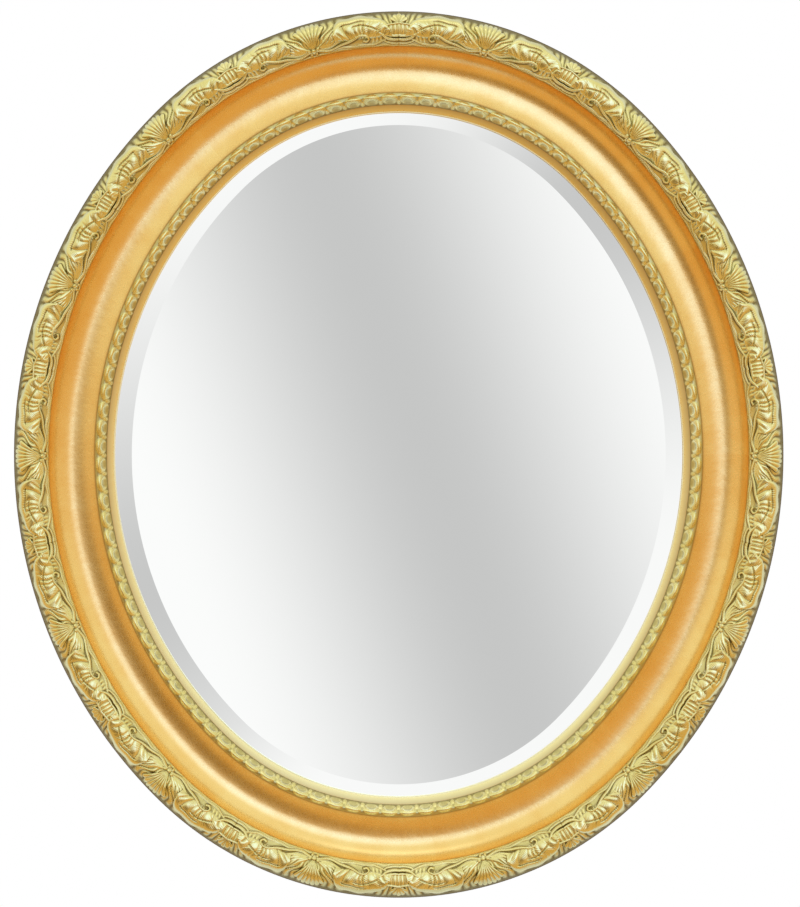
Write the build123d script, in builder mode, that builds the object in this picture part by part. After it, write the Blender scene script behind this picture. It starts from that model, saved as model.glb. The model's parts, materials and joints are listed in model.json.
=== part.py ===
"""Oval wall mirror in a gilded baroque frame.

The mirror hangs upright: X to the right, Z up, the front faces -Y and the wall is the plane Y = 0. The
origin is the middle of the oval on the wall. Every oval in it is a four-centred oval, so each moulding is
turned about four points. Sections are drawn as (outward from the sight edge, height above the frame's back).
"""
from build123d import *
from math import cos, radians, sin, sqrt
import os

# Mirror glass, a stock oval with a bevelled edge
glass_width = 500.0
glass_height = 600.0
glass_thickness = 4.0
glass_edge_thickness = 2.0
bevel_at_sides = 20.0
bevel_at_ends = 16.0

# Panel behind the glass
panel_thickness = 4.0

# Frame moulding: widths of its bands, from the sight edge outward
lip_overlap = 5.0
rebate_clearance = 1.5
glass_clearance = 0.05
lip_width = 6.0
edging_width = 10.0
cove_width = 38.0
cove_low_point_from_edging = 18.0
torus_width = 30.0

# Frame moulding: heights above the back
lip_edge_thickness = 2.5
lip_rise = 2.5
edging_seat_rise = 5.0
cove_low_height = 12.0
cove_outer_height = 30.0
cove_inner_flat_count = 2
cove_outer_flat_count = 4
torus_seat_height = 36.5
outer_edge_height = 27.0
side_undercut = 2.5

# Pressed ornament on the torus
strip_count = 7
strip_seam = 0.2
strip_reference = 70.0
torus_height = 41.5
torus_flat_count = 5

# Pressed edging next to the glass
edging_height = 21.0
edging_crest_from_cove = 2.0

# Loose splines in the joints of the frame
spline_length = 30.0
spline_width = 40.0
spline_thickness = 5.0
spline_height = 6.0
spline_fit = 0.1
spline_from_rebate = 6.0

# Turn buttons that hold the back panel
button_length = 34.0
button_width = 12.0
button_corner = 3.5
button_thickness = 1.6
button_pivot_to_rebate = 9.0
button_gap = 0.1
button_angle_on_ends = 35.0

# Screws
screw_radius = 1.75
screw_head_radius = 3.4
screw_head_height = 1.8
screw_length = 13.0
screw_hole_clearance = 0.08

# Strap hanger and its D-ring
ring_wire = 3.0
ring_wire_side_count = 6
ring_inner_width = 20.0
ring_inner_height = 15.0
ring_corner = 3.0
strap_thickness = 1.2
strap_width = 13.0
strap_length = 36.0
strap_grip_clearance = 0.1
strap_screws_below_ring = (9.0, 27.0)
hanger_from_sight_edge = 50.0

# Wall bumpers
bumper_size = 18.0
bumper_thickness = 6.0
bumper_angle = 18.0
bumper_from_sight_edge = 55.0



def centre_offset_of(half_width, half_height):
    """How far each centre of a four-centred oval lies from its middle, with quarter-circle arcs."""
    return (half_height - half_width) / (2 - sqrt(2))


# Worked out from the sizes above
sight_half_width = glass_width / 2 - lip_overlap
sight_half_height = glass_height / 2 - lip_overlap
centre_offset = centre_offset_of(sight_half_width, sight_half_height)
rebate_width = lip_overlap + rebate_clearance
edging_start = lip_width
edging_end = edging_start + edging_width
torus_start = edging_end + cove_width
frame_width = torus_start + torus_width
stand_off = bumper_thickness

bevel_drop = glass_thickness - glass_edge_thickness
drop_at_lip = bevel_drop * (bevel_at_ends - lip_overlap) / bevel_at_ends
rebate_depth = panel_thickness + glass_thickness - drop_at_lip + glass_clearance
lip_height = rebate_depth + lip_edge_thickness
edging_seat_start = lip_height + lip_rise
cove_inner_height = edging_seat_start + edging_seat_rise


class Turn:
    """One of the four centres of the oval, with the arc that is turned about it."""

    def __init__(self, name, x, z, sight_radius, middle):
        self.name = name
        self.x = x
        self.z = z
        self.sight_radius = sight_radius
        self.middle = middle

    def axis(self):
        """Axis of the turn. A positive angle goes from +X to +Z."""
        return Axis((self.x, 0, self.z), (0, -1, 0))

    def spot(self, angle, outward):
        """Point on the frame's back."""
        out = Vector(cos(radians(angle)), 0, sin(radians(angle)))
        return Vector(self.x, -stand_off, self.z) + out * (self.sight_radius + outward)

    def section_plane(self, angle):
        """Plane of a section: its x is outward from the sight edge, its y the height above the back."""
        out = Vector(cos(radians(angle)), 0, sin(radians(angle)))
        return Plane(origin=self.spot(angle, 0), x_dir=out, z_dir=out.cross(Vector(0, -1, 0)))

    def back_plane(self, angle, outward):
        """Plane on the frame's back: its x is outward from the sight edge, its z towards the wall."""
        out = Vector(cos(radians(angle)), 0, sin(radians(angle)))
        return Plane(origin=self.spot(angle, outward), x_dir=out, z_dir=(0, 1, 0))


side_radius = sight_half_width + centre_offset
end_radius = sight_half_height - centre_offset
right = Turn("right", -centre_offset, 0, side_radius, 0)
top = Turn("top", 0, centre_offset, end_radius, 90)
left = Turn("left", centre_offset, 0, side_radius, 180)
bottom = Turn("bottom", 0, -centre_offset, end_radius, 270)
turns = (right, top, left, bottom)
quarter = 360 / len(turns)


def stretches(start, end, outward):
    """Arcs that cover the oval from one length to another, counted from the right-hand end of the top arc.

    Lengths are measured along the line that lies outward from the sight edge. Gives each arc's turn, its
    first angle and its span, going from +X to +Z.
    """
    found = []
    at = 0.0
    for turn in (top, left, bottom, right, top):
        per_degree = radians(turn.sight_radius + outward)
        length = quarter * per_degree
        low = max(start, at)
        high = min(end, at + length)
        if high > low:
            first = turn.middle - quarter / 2 + (low - at) / per_degree
            found.append((turn, first, (high - low) / per_degree))
        at += length
    return found


def draw_flats(curve, count):
    """A round stretch of a section, planed as narrow flats between points on its curve."""
    Polyline(*[curve @ (step / count) for step in range(count + 1)])


def draw_moulding():
    """Outline of the frame wood. Its cove follows two arcs that meet level at the lowest point."""
    cove_start = (edging_end, cove_inner_height)
    cove_low_point = (edging_end + cove_low_point_from_edging, cove_low_height)
    cove_stop = (torus_start, cove_outer_height)
    inner_arc = TangentArc(cove_low_point, cove_start, tangent=(-1, 0), mode=Mode.PRIVATE)
    outer_arc = TangentArc(cove_low_point, cove_stop, tangent=(1, 0), mode=Mode.PRIVATE)
    draw_flats(inner_arc, cove_inner_flat_count)
    draw_flats(outer_arc, cove_outer_flat_count)
    Polyline(
        cove_stop,
        (torus_start + torus_width / 2, torus_seat_height),
        (frame_width, outer_edge_height),
        (frame_width - side_undercut, 0),
        (rebate_width, 0),
        (rebate_width, rebate_depth),
        (0, rebate_depth),
        (0, lip_height),
        (edging_start, edging_seat_start),
        cove_start,
    )


def draw_torus():
    """Outline of the ornament on its ridged seat."""
    inner_edge = (torus_start, cove_outer_height)
    outer_edge = (frame_width, outer_edge_height)
    Polyline(outer_edge, (torus_start + torus_width / 2, torus_seat_height), inner_edge)
    crest = (torus_start + torus_width / 2, torus_height)
    draw_flats(ThreePointArc(inner_edge, crest, outer_edge, mode=Mode.PRIVATE), torus_flat_count)


def draw_edging():
    """Outline of the leaf edging on its sloping seat."""
    Polyline(
        (edging_start, edging_seat_start),
        (edging_end - edging_crest_from_cove, edging_height),
        (edging_end, cove_inner_height),
        (edging_start, edging_seat_start),
    )


def draw_oval(half_width, half_height):
    """Four-centred oval, seen from the front."""
    offset = centre_offset_of(half_width, half_height)
    arcs = (
        (-offset, 0, half_width + offset, 0),
        (0, offset, half_height - offset, 90),
        (offset, 0, half_width + offset, 180),
        (0, -offset, half_height - offset, 270),
    )
    for x, y, radius, middle in arcs:
        CenterArc((x, y), radius, middle - quarter / 2, quarter)


def front_plane(height):
    """Plane at a height above the frame's back, seen from the front: x right, y up."""
    return Plane(origin=(0, -stand_off - height, 0), x_dir=(1, 0, 0), z_dir=(0, -1, 0))


parts = {}


def finish(name, builder):
    """Label a piece and keep it for the export."""
    builder.part.label = name
    parts[name] = builder.part


# Mirror glass: a plate with its front edge bevelled, less wide at the ends of the oval than at its sides
with BuildPart() as mirror_glass:
    with BuildSketch(front_plane(panel_thickness)):
        with BuildLine():
            draw_oval(glass_width / 2, glass_height / 2)
        make_face()
    extrude(amount=glass_edge_thickness)
    with BuildSketch(front_plane(panel_thickness + glass_edge_thickness)) as rim:
        with BuildLine():
            draw_oval(glass_width / 2, glass_height / 2)
        make_face()
    with BuildSketch(front_plane(panel_thickness + glass_thickness)) as face:
        with BuildLine():
            draw_oval(glass_width / 2 - bevel_at_sides, glass_height / 2 - bevel_at_ends)
        make_face()
    loft(sections=[rim.sketch, face.sketch], ruled=True)
finish("mirror_glass", mirror_glass)

# Back panel, cut to the glass's outline
with BuildPart() as back_panel:
    with BuildSketch(front_plane(0)):
        with BuildLine():
            draw_oval(glass_width / 2, glass_height / 2)
        make_face()
    extrude(amount=panel_thickness)
finish("back_panel", back_panel)

# Places of what is screwed to the back: the buttons clear the hanger at the top and the bumpers at the bottom
button_pivot = rebate_width + button_pivot_to_rebate
button_spots = (
    (right, right.middle),
    (top, top.middle - button_angle_on_ends),
    (top, top.middle + button_angle_on_ends),
    (left, left.middle),
    (bottom, bottom.middle - button_angle_on_ends),
    (bottom, bottom.middle + button_angle_on_ends),
)
strap_screw_spots = [hanger_from_sight_edge - below for below in strap_screws_below_ring]


def screw_planes(turn):
    """Where the screws enter one frame segment."""
    found = [spot.back_plane(angle, button_pivot) for spot, angle in button_spots if spot is turn]
    if turn is top:
        found += [top.back_plane(top.middle, outward) for outward in strap_screw_spots]
    return found


# Frame segments, each with pilot holes for its screws and half a spline slot in both ends
spline_from_sight_edge = rebate_width + spline_from_rebate + spline_width / 2
for turn in turns:
    with BuildPart() as segment:
        with BuildSketch(turn.section_plane(turn.middle - quarter / 2)):
            with BuildLine():
                draw_moulding()
            make_face()
        revolve(axis=turn.axis(), revolution_arc=quarter)
        for end in (-1, 1):
            joint = turn.section_plane(turn.middle + end * quarter / 2)
            with Locations(joint * Location((spline_from_sight_edge, spline_height, 0))):
                Box(
                    spline_width + 2 * spline_fit,
                    spline_thickness + 2 * spline_fit,
                    spline_length + 2 * spline_fit,
                    mode=Mode.SUBTRACT,
                )
        with Locations(*screw_planes(turn)):
            Cylinder(screw_radius + screw_hole_clearance, 2 * screw_length, mode=Mode.SUBTRACT)
    finish(f"frame_{turn.name}", segment)

# Loose splines, one across each joint
with BuildPart() as joint_splines:
    for turn in turns:
        joint = turn.section_plane(turn.middle - quarter / 2)
        with Locations(joint * Location((spline_from_sight_edge, spline_height, 0))):
            Box(spline_width, spline_thickness, spline_length)
finish("joint_splines", joint_splines)

# Ornament strips on the torus, the first one to the left of the top's middle
reference_length = sum(radians(turn.sight_radius + strip_reference) * quarter for turn in turns)
strip_length = reference_length / strip_count
top_middle = radians(top.sight_radius + strip_reference) * quarter / 2
for number in range(strip_count):
    strip_start = top_middle + number * strip_length
    strip_end = strip_start + strip_length - strip_seam
    with BuildPart() as strip:
        for turn, first, span in stretches(strip_start, strip_end, strip_reference):
            with BuildSketch(turn.section_plane(first)):
                with BuildLine():
                    draw_torus()
                make_face()
            revolve(axis=turn.axis(), revolution_arc=span)
    finish(f"ornament_strip_{number + 1}", strip)

# Leaf edging next to the glass, one strip to each frame segment
for turn in turns:
    seam = strip_seam / radians(turn.sight_radius)
    with BuildPart() as edging:
        with BuildSketch(turn.section_plane(turn.middle - quarter / 2)):
            with BuildLine():
                draw_edging()
            make_face()
        revolve(axis=turn.axis(), revolution_arc=quarter - seam)
    finish(f"leaf_edging_{turn.name}", edging)

# Turn buttons: flat plates that reach over the back panel
button_reach = button_length - button_width
for number, (turn, angle) in enumerate(button_spots):
    with BuildPart() as button:
        with BuildSketch(turn.back_plane(angle, button_pivot).offset(button_gap)) as outline:
            with Locations((-button_reach / 2, 0)):
                Rectangle(button_length, button_width)
            chamfer(outline.vertices(), button_corner)
            Circle(screw_radius + screw_hole_clearance, mode=Mode.SUBTRACT)
        extrude(amount=button_thickness)
    finish(f"turn_button_{number + 1}", button)


def add_screw():
    """Screw whose head is seated on the plane and whose shank goes along the plane's -z."""
    Cylinder(screw_head_radius, screw_head_height, align=(Align.CENTER, Align.CENTER, Align.MIN))
    Cylinder(screw_radius, screw_length, align=(Align.CENTER, Align.CENTER, Align.MAX))


with BuildPart() as button_screws:
    for turn, angle in button_spots:
        with Locations(turn.back_plane(angle, button_pivot).offset(button_thickness + 2 * button_gap)):
            add_screw()
finish("button_screws", button_screws)

# Strap hanger at the top: its loop holds the straight side of the ring
loop_hole_radius = ring_wire / 2 + strap_grip_clearance
loop_radius = loop_hole_radius + strap_thickness
hanger = top.back_plane(top.middle, hanger_from_sight_edge)
with BuildPart() as hanger_strap:
    with BuildSketch(Plane(origin=hanger.origin, x_dir=(0, 0, 1), z_dir=(1, 0, 0))):
        with Locations((0, -loop_radius)):
            Circle(loop_radius)
        with Locations((-strap_length / 2, -strap_thickness / 2)):
            Rectangle(strap_length, strap_thickness)
        with Locations((0, -loop_radius)):
            Circle(loop_hole_radius, mode=Mode.SUBTRACT)
    extrude(amount=strap_width / 2, both=True)
    with Locations(*[top.back_plane(top.middle, outward) for outward in strap_screw_spots]):
        Cylinder(screw_radius + screw_hole_clearance, 3 * strap_thickness, mode=Mode.SUBTRACT)
finish("hanger_strap", hanger_strap)

with BuildPart() as strap_screws:
    for outward in strap_screw_spots:
        with Locations(top.back_plane(top.middle, outward).offset(strap_thickness)):
            add_screw()
finish("strap_screws", strap_screws)

# D-ring: half of its run swept, then mirrored
bow_radius = (ring_inner_width + ring_wire) / 2
bow_start = ring_inner_height + ring_wire - bow_radius
ring_plane = Plane(origin=hanger.origin + Vector(0, loop_radius, 0), x_dir=(1, 0, 0), z_dir=(0, -1, 0))
with BuildPart() as d_ring:
    with BuildLine(ring_plane) as run:
        Line((0, 0), (bow_radius - ring_corner, 0))
        CenterArc((bow_radius - ring_corner, ring_corner), ring_corner, -90, 90)
        Line((bow_radius, ring_corner), (bow_radius, bow_start))
        CenterArc((0, bow_start), bow_radius, 0, 90)
    with BuildSketch(Plane(origin=ring_plane.origin, z_dir=(1, 0, 0))):
        RegularPolygon(ring_wire / 2, ring_wire_side_count)
    sweep(path=run.line)
    mirror(about=Plane.YZ)
finish("d_ring", d_ring)

# Wall bumpers: felt pads that keep the foot of the frame off the wall
for side_name, side in (("left", -1), ("right", 1)):
    with BuildPart() as bumper:
        with BuildSketch(bottom.back_plane(bottom.middle + side * bumper_angle, bumper_from_sight_edge)):
            Rectangle(bumper_size, bumper_size)
        extrude(amount=bumper_thickness)
    finish(f"wall_bumper_{side_name}", bumper)

os.makedirs("parts", exist_ok=True)
for part_name, solid in parts.items():
    export_step(solid, f"parts/{part_name}.step")
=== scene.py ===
"""Looks of an oval wall mirror: gilded baroque frame, bevelled glass, backing and hanging hardware.

Lengths are in metres: X right, Z up, the front faces -Y and the wall is the plane Y = 0. The frame is made straight,
as x = length along it, y = outward from the sight edge, z = height above its back. One Geometry Nodes tree then
bends it round the four-centred oval.
"""

import json
import math

import bmesh
import bpy
import numpy as np
from mathutils import Matrix, Vector, noise

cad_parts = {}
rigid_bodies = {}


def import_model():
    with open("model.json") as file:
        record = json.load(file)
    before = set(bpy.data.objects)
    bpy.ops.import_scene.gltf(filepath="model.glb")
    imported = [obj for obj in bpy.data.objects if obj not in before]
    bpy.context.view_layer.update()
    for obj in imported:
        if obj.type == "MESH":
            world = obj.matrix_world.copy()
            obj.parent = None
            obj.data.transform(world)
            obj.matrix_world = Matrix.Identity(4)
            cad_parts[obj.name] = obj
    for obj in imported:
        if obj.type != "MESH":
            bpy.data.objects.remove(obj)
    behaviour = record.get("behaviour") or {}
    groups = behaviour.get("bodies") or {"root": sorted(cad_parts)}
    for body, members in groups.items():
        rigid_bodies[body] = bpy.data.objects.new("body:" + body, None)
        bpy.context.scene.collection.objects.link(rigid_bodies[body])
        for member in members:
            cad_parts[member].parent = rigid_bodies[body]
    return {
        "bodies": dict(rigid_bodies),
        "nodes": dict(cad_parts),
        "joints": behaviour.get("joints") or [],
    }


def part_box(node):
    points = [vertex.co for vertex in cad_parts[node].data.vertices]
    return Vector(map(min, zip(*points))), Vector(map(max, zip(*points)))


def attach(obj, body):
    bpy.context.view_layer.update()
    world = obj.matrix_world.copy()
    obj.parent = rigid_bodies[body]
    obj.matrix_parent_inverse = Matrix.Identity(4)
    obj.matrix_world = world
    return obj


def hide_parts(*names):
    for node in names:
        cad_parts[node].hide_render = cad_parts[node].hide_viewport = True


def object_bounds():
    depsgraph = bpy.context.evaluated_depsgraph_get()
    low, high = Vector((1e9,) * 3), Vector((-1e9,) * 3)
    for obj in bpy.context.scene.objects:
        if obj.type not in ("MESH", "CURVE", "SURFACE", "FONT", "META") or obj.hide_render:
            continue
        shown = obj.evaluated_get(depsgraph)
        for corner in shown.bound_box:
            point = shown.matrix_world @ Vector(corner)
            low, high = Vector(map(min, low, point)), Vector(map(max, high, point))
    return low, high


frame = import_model()
cad_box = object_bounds()
mm = 0.001

# Oval, taken from the glass and how far the lip covers it
glass_low, glass_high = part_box("mirror_glass")
lip_overlap = 5 * mm
sight_half_width = glass_high.x - lip_overlap
sight_half_height = glass_high.z - lip_overlap
centre_offset = (sight_half_height - sight_half_width) / (2 - math.sqrt(2))
side_radius = sight_half_width + centre_offset
end_radius = sight_half_height - centre_offset
stand_off = -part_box("back_panel")[1].y

# Frame section, as outward from the sight edge and height above the back
rebate = (6.5 * mm, 6.675 * mm)
lip_top = 9.175 * mm
edging_inner = (6 * mm, 11.675 * mm)
edging_outer = (16 * mm, 16.675 * mm)
edging_crest = (12.4 * mm, 19.1 * mm)
edging_rise = (9 * mm, 15.4 * mm)
edging_fall = (14.8 * mm, 18.4 * mm)
edging_step = 12.5 * mm
cove_low_point = (34 * mm, 12 * mm)
cove_outer = (54 * mm, 30 * mm)
torus_ridge = (69 * mm, 36.5 * mm)
outer_edge = (84 * mm, 27 * mm)
back_edge = (81.5 * mm, 0)

# Pressed ornament on the torus
repeats = 14
repeats_per_strip = 2
ornament_reference = 70 * mm
ornament_crest = 41.2 * mm
ornament_ground = 36.9 * mm
strip_seam = 0.2 * mm

# Glass
bevel_at_sides = 20 * mm
bevel_at_ends = 16 * mm
glass_edge = 2 * mm

# Photograph, in its pixels: its size, where the middle of the oval lies and its scale at the frame's outer edge
photo_width, photo_height = 800, 907
oval_middle = (398.75, 456.0)
pixels_per_metre = 1170
camera_distance = 2.6
camera_rise = 0.06
sensor_width = 36.0


def evenly(start, end, count):
    return np.linspace(start, end, count)


def around(count):
    """Angles at even steps round a full turn."""
    return evenly(0, 2 * math.pi, count + 1)[:-1]


def rounded(corners, steps=5):
    """Closed outline through corners, each an x, a y and a radius."""
    outline = []
    for number, (x, y, radius) in enumerate(corners):
        corner = Vector((x, y))
        if not radius:
            outline.append(corner)
            continue
        before = (Vector(corners[number - 1][:2]) - corner).normalized()
        after = (Vector(corners[(number + 1) % len(corners)][:2]) - corner).normalized()
        half = before.angle(after) / 2
        start = corner + before * radius / math.tan(half)
        end = corner + after * radius / math.tan(half)
        middle = corner + (before + after).normalized() * radius / math.sin(half)
        for step in range(steps + 1):
            spoke = start.lerp(end, step / steps) - middle
            outline.append(middle + spoke.normalized() * radius)
    return np.array([tuple(point) for point in outline])


def arc_through(start, middle, end, count):
    """Points of the arc through three points."""
    a, b, c = (complex(*point) for point in (start, middle, end))
    w = (c - a) / (b - a)
    centre = (b - a) * (w - abs(w) ** 2) / (2j * w.imag) + a
    turn = np.angle((c - centre) / (a - centre))
    spokes = (a - centre) * np.exp(1j * evenly(0, turn, count))
    return np.stack([(centre + spokes).real, (centre + spokes).imag], axis=-1)


def arc_from_low(low, end, count):
    """Points of an arc that leaves its low point level, up to its end."""
    run, rise = end[0] - low[0], end[1] - low[1]
    radius = (run**2 + rise**2) / (2 * rise)
    turn = evenly(0, math.atan2(run, radius - rise), count)
    return np.stack([low[0] + radius * np.sin(turn), low[1] + radius * (1 - np.cos(turn))], axis=-1)


def oval(half_width, half_height, count):
    """Points of a four-centred oval, from +X towards +Z."""
    offset = (half_height - half_width) / (2 - math.sqrt(2))
    angle = around(count)
    middle = np.floor(angle / (math.pi / 2) + 0.5) * math.pi / 2
    mean = (half_width + half_height) / 2
    half_change = (half_width + offset) - mean
    radius = mean + half_change * np.cos(2 * middle)
    return np.stack(
        [radius * np.cos(angle) - offset * np.cos(middle), radius * np.sin(angle) + offset * np.sin(middle)],
        axis=-1,
    )


def add(tree, kind, inputs=(), **settings):
    """Add a node and give its outputs. Settings are its attributes; inputs give its sockets a value or a link."""
    made = tree.nodes.new(kind)
    for name, value in settings.items():
        setattr(made, name, value)
    for key, value in dict(inputs).items():
        if isinstance(value, bpy.types.NodeSocket):
            tree.links.new(value, made.inputs[key])
        else:
            made.inputs[key].default_value = value
    return made.outputs


def maths_in(tree):
    """Function that adds a Math node to the tree and gives its result."""
    return lambda operation, *values: add(tree, "ShaderNodeMath", enumerate(values), operation=operation)[0]


def colour(code):
    """Linear colour of an sRGB hex code."""
    values = [int(code[start:start + 2], 16) / 255 for start in (1, 3, 5)]
    return (*[v / 12.92 if v <= 0.04045 else ((v + 0.055) / 1.055) ** 2.4 for v in values], 1)


# Meshes


def mesh_of_rows(name, points, attributes=()):
    """Open tube through rows of points: each row is a closed ring. Attributes hold one number for each point."""
    rows, across = points.shape[:2]
    index = np.arange(rows * across).reshape(rows, across)
    here, there = index[:-1], index[1:]
    quads = np.stack([here, there, np.roll(there, -1, axis=1), np.roll(here, -1, axis=1)], axis=-1)
    mesh = bpy.data.meshes.new(name)
    mesh.from_pydata(points.reshape(-1, 3).tolist(), [], quads.reshape(-1, 4).tolist())
    for label, values in dict(attributes).items():
        layer = mesh.attributes.new(label, "FLOAT", "POINT")
        layer.data.foreach_set("value", values.astype(np.float32).ravel())
    return mesh


def close_ends(mesh, sharp_angle=None):
    """Fill the open ends, turn the faces outward and shade them smooth, but for edges over the sharp angle."""
    work = bmesh.new()
    work.from_mesh(mesh)
    bmesh.ops.remove_doubles(work, verts=work.verts, dist=0.002 * mm)
    bmesh.ops.holes_fill(work, edges=[edge for edge in work.edges if edge.is_boundary])
    bmesh.ops.recalc_face_normals(work, faces=work.faces)
    work.to_mesh(mesh)
    work.free()
    mesh.shade_smooth()
    if sharp_angle is not None:
        mesh.set_sharp_from_angle(angle=math.radians(sharp_angle))


def solid(name, rows, sharp_angle=None):
    """Closed mesh through rows of points."""
    mesh = mesh_of_rows(name, np.array(rows))
    close_ends(mesh, sharp_angle)
    return mesh


def put(name, data):
    """Object in the scene for a mesh, lamp or camera."""
    made = bpy.data.objects.new(name, data)
    bpy.context.scene.collection.objects.link(made)
    return made


def baked(thing):
    """Plain mesh of an object with its modifiers."""
    return bpy.data.meshes.new_from_object(thing.evaluated_get(bpy.context.evaluated_depsgraph_get()))


def piece(name, mesh, body, slot, *nodes):
    """Object for a finished mesh that stands for CAD nodes."""
    made = put(name, mesh)
    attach(made, body)
    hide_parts(*nodes)
    return made


def grown(tree, mesh, inputs):
    """Plain mesh that a Geometry Nodes tree makes from a mesh."""
    start = put("start", mesh)
    modifier = start.modifiers.new("grow", "NODES")
    modifier.node_group = tree
    for item in tree.interface.items_tree:
        if item.item_type == "SOCKET" and item.in_out == "INPUT" and item.name in inputs:
            modifier[item.identifier] = inputs[item.name]
    made = baked(start)
    start.modifiers.remove(modifier)
    bpy.data.objects.remove(start)
    return made


def new_tree(name, sockets):
    """Geometry Nodes tree with a geometry in and out, and its named inputs."""
    tree = bpy.data.node_groups.new(name, "GeometryNodeTree")
    tree.interface.new_socket("Geometry", in_out="INPUT", socket_type="NodeSocketGeometry")
    for label, kind in sockets.items():
        tree.interface.new_socket(label, in_out="INPUT", socket_type=f"NodeSocket{kind}")
    tree.interface.new_socket("Geometry", in_out="OUTPUT", socket_type="NodeSocketGeometry")
    return tree, tree.nodes.new("NodeGroupInput").outputs


def make_bend_tree():
    """Repeat a straight length of moulding and bend it round the oval."""
    tree, given = new_tree("bend round the oval", {
        "Copies": "Int", "Spacing": "Float", "Start": "Float", "Reference": "Float",
        "Side radius": "Float", "End radius": "Float", "Centre offset": "Float", "Stand-off": "Float",
        "Finish": "Material", "Bare finish": "Material",
    })
    maths = maths_in(tree)
    offset = add(tree, "ShaderNodeCombineXYZ", {"X": given["Spacing"]})[0]
    first = add(tree, "ShaderNodeCombineXYZ", {"X": given["Start"]})[0]
    line = add(tree, "GeometryNodeMeshLine",
               {"Count": given["Copies"], "Start Location": first, "Offset": offset})[0]
    copies = add(tree, "GeometryNodeInstanceOnPoints", {"Points": line, "Instance": given["Geometry"]})
    real = add(tree, "GeometryNodeRealizeInstances", {"Geometry": copies[0]})[0]
    joined = add(tree, "GeometryNodeMergeByDistance", {"Geometry": real, "Distance": 0.005 * mm})[0]
    place = add(tree, "GeometryNodeInputPosition")[0]
    kept = add(tree, "GeometryNodeStoreNamedAttribute", {"Geometry": joined, "Name": "moulding", "Value": place},
               data_type="FLOAT_VECTOR", domain="POINT")[0]
    straight = add(tree, "GeometryNodeInputNamedAttribute", {"Name": "moulding"},
                   data_type="FLOAT_VECTOR")[0]
    along, outward, height = add(tree, "ShaderNodeSeparateXYZ", {0: straight})

    # The length along the frame is used up by the five arcs in turn, from the right-hand end of the top arc
    quarter = math.pi / 2
    reached, angle = 0.0, quarter / 2
    for radius in ("End radius", "Side radius", "End radius", "Side radius", "End radius"):
        arc_end = maths("ADD", maths("MULTIPLY", maths("ADD", given[radius], given["Reference"]), quarter), reached)
        turned = add(tree, "ShaderNodeMapRange",
                     {"Value": along, "From Min": reached, "From Max": arc_end, "To Max": quarter})[0]
        angle = maths("ADD", turned, angle)
        reached = arc_end
    middle = maths("SNAP", maths("ADD", angle, quarter / 2), quarter)
    mean = maths("DIVIDE", maths("ADD", given["Side radius"], given["End radius"]), 2.0)
    half_change = maths("SUBTRACT", given["Side radius"], mean)
    sight = maths("MULTIPLY_ADD", maths("COSINE", maths("MULTIPLY", middle, 2.0)), half_change, mean)
    radius = maths("ADD", sight, outward)
    centre_x = maths("MULTIPLY", maths("COSINE", middle), given["Centre offset"])
    centre_z = maths("MULTIPLY", maths("SINE", middle), given["Centre offset"])
    bent = add(tree, "ShaderNodeCombineXYZ", {
        "X": maths("SUBTRACT", maths("MULTIPLY", maths("COSINE", angle), radius), centre_x),
        "Y": maths("SUBTRACT", maths("MULTIPLY", height, -1.0), given["Stand-off"]),
        "Z": maths("ADD", maths("MULTIPLY", maths("SINE", angle), radius), centre_z),
    })[0]
    moved = add(tree, "GeometryNodeSetPosition", {"Geometry": kept, "Position": bent})[0]
    bare = add(tree, "GeometryNodeInputNamedAttribute", {"Name": "bare"}, data_type="BOOLEAN")[0]
    gilt = add(tree, "GeometryNodeSetMaterial", {"Geometry": moved, "Material": given["Finish"]})[0]
    done = add(tree, "GeometryNodeSetMaterial",
               {"Geometry": gilt, "Selection": bare, "Material": given["Bare finish"]})[0]
    add(tree, "NodeGroupOutput", {"Geometry": done})
    return tree


bend_tree = make_bend_tree()


def bend(mesh, start, reference, finish, bare_finish=None, copies=1, spacing=0.0):
    """Straight moulding, repeated and bent round the oval."""
    return grown(bend_tree, mesh, {
        "Copies": copies, "Spacing": spacing, "Start": start, "Reference": reference,
        "Side radius": side_radius, "End radius": end_radius, "Centre offset": centre_offset,
        "Stand-off": stand_off, "Finish": finish, "Bare finish": bare_finish or finish,
    })


# Materials


def new_material(name):
    made = bpy.data.materials.new(name)
    made.use_nodes = True
    made.node_tree.nodes.clear()
    return made, made.node_tree


def finish_surface(tree, inputs, bump=None, bump_height=0.0):
    """Principled surface, with its inputs by name and a bump of a real height."""
    if bump is not None:
        inputs["Normal"] = add(tree, "ShaderNodeBump", {"Height": bump, "Distance": bump_height})[0]
    surface = add(tree, "ShaderNodeBsdfPrincipled", inputs)
    add(tree, "ShaderNodeOutputMaterial", {"Surface": surface[0]})


def mix(tree, share, first, second):
    """Blend of two colours."""
    return add(tree, "ShaderNodeMix", {0: share, 6: first, 7: second}, data_type="RGBA")[2]


def spread(tree, value, low, high, start=0.0, end=1.0, **settings):
    """Map a value from start..end to low..high."""
    return add(tree, "ShaderNodeMapRange", {
        "Value": value, "From Min": start, "From Max": end, "To Min": low, "To Max": high,
    }, **settings)[0]


def grain_noise(tree, size, detail=3.0, stretch=(1, 1, 1)):
    """Noise whose features are about size across, in Object coordinates."""
    place = add(tree, "ShaderNodeTexCoord")["Object"]
    scaled = add(tree, "ShaderNodeMapping", {"Vector": place, "Scale": stretch})[0]
    return add(tree, "ShaderNodeTexNoise", {"Vector": scaled, "Scale": 1 / size, "Detail": detail})[0]


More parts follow.
